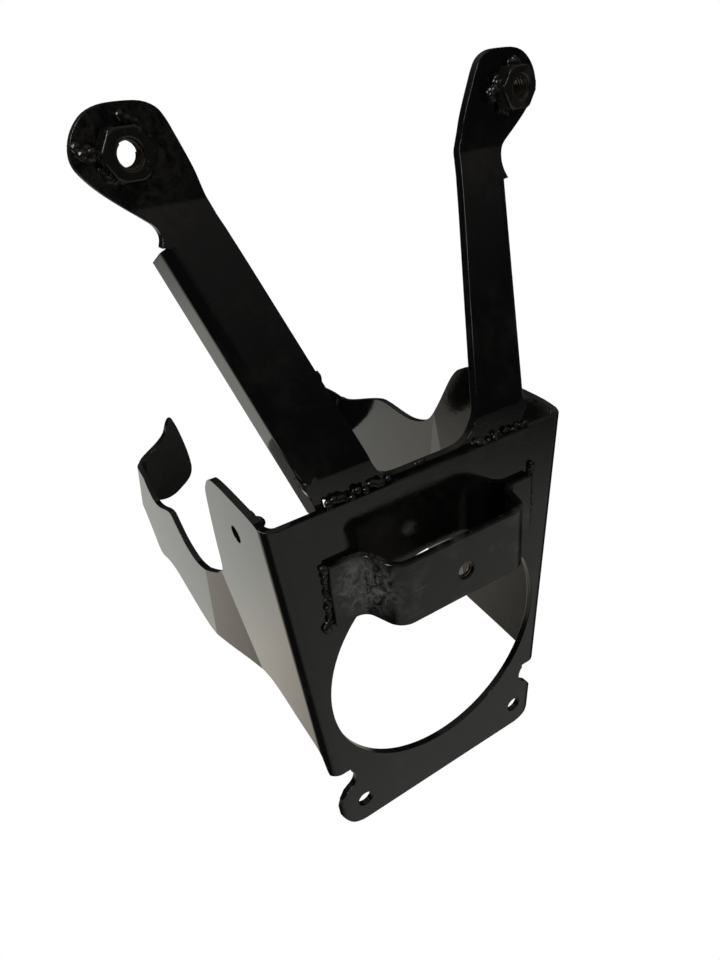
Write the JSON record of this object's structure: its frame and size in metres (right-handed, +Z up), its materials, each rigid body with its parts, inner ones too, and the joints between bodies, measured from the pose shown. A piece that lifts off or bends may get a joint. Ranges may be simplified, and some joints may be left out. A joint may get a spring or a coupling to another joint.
{
  "type": "front panel bracket",
  "caption": "Welded sheet-steel front bracket: folded panel with a big round opening and side walls, a forked arm yoke with weld nuts, and a hat strap across its face",
  "frame": {"origin": "centre of the big round opening, on the front face of the panel", "axes": "+X to the right across the panel, +Y back into the depth, +Z up along the middle of the panel"},
  "size_m": [0.1536, 0.1869, 0.2576],
  "materials": {
    "panel_paint": "gloss",
    "nut_paint": "gloss"
  },
  "bodies": {
    "root": {"front_panel": "panel_paint", "arm_yoke": "panel_paint", "tie_strap": "panel_paint", "head_nuts": "nut_paint", "side_nut": "nut_paint"}
  },
  "joints": []
}
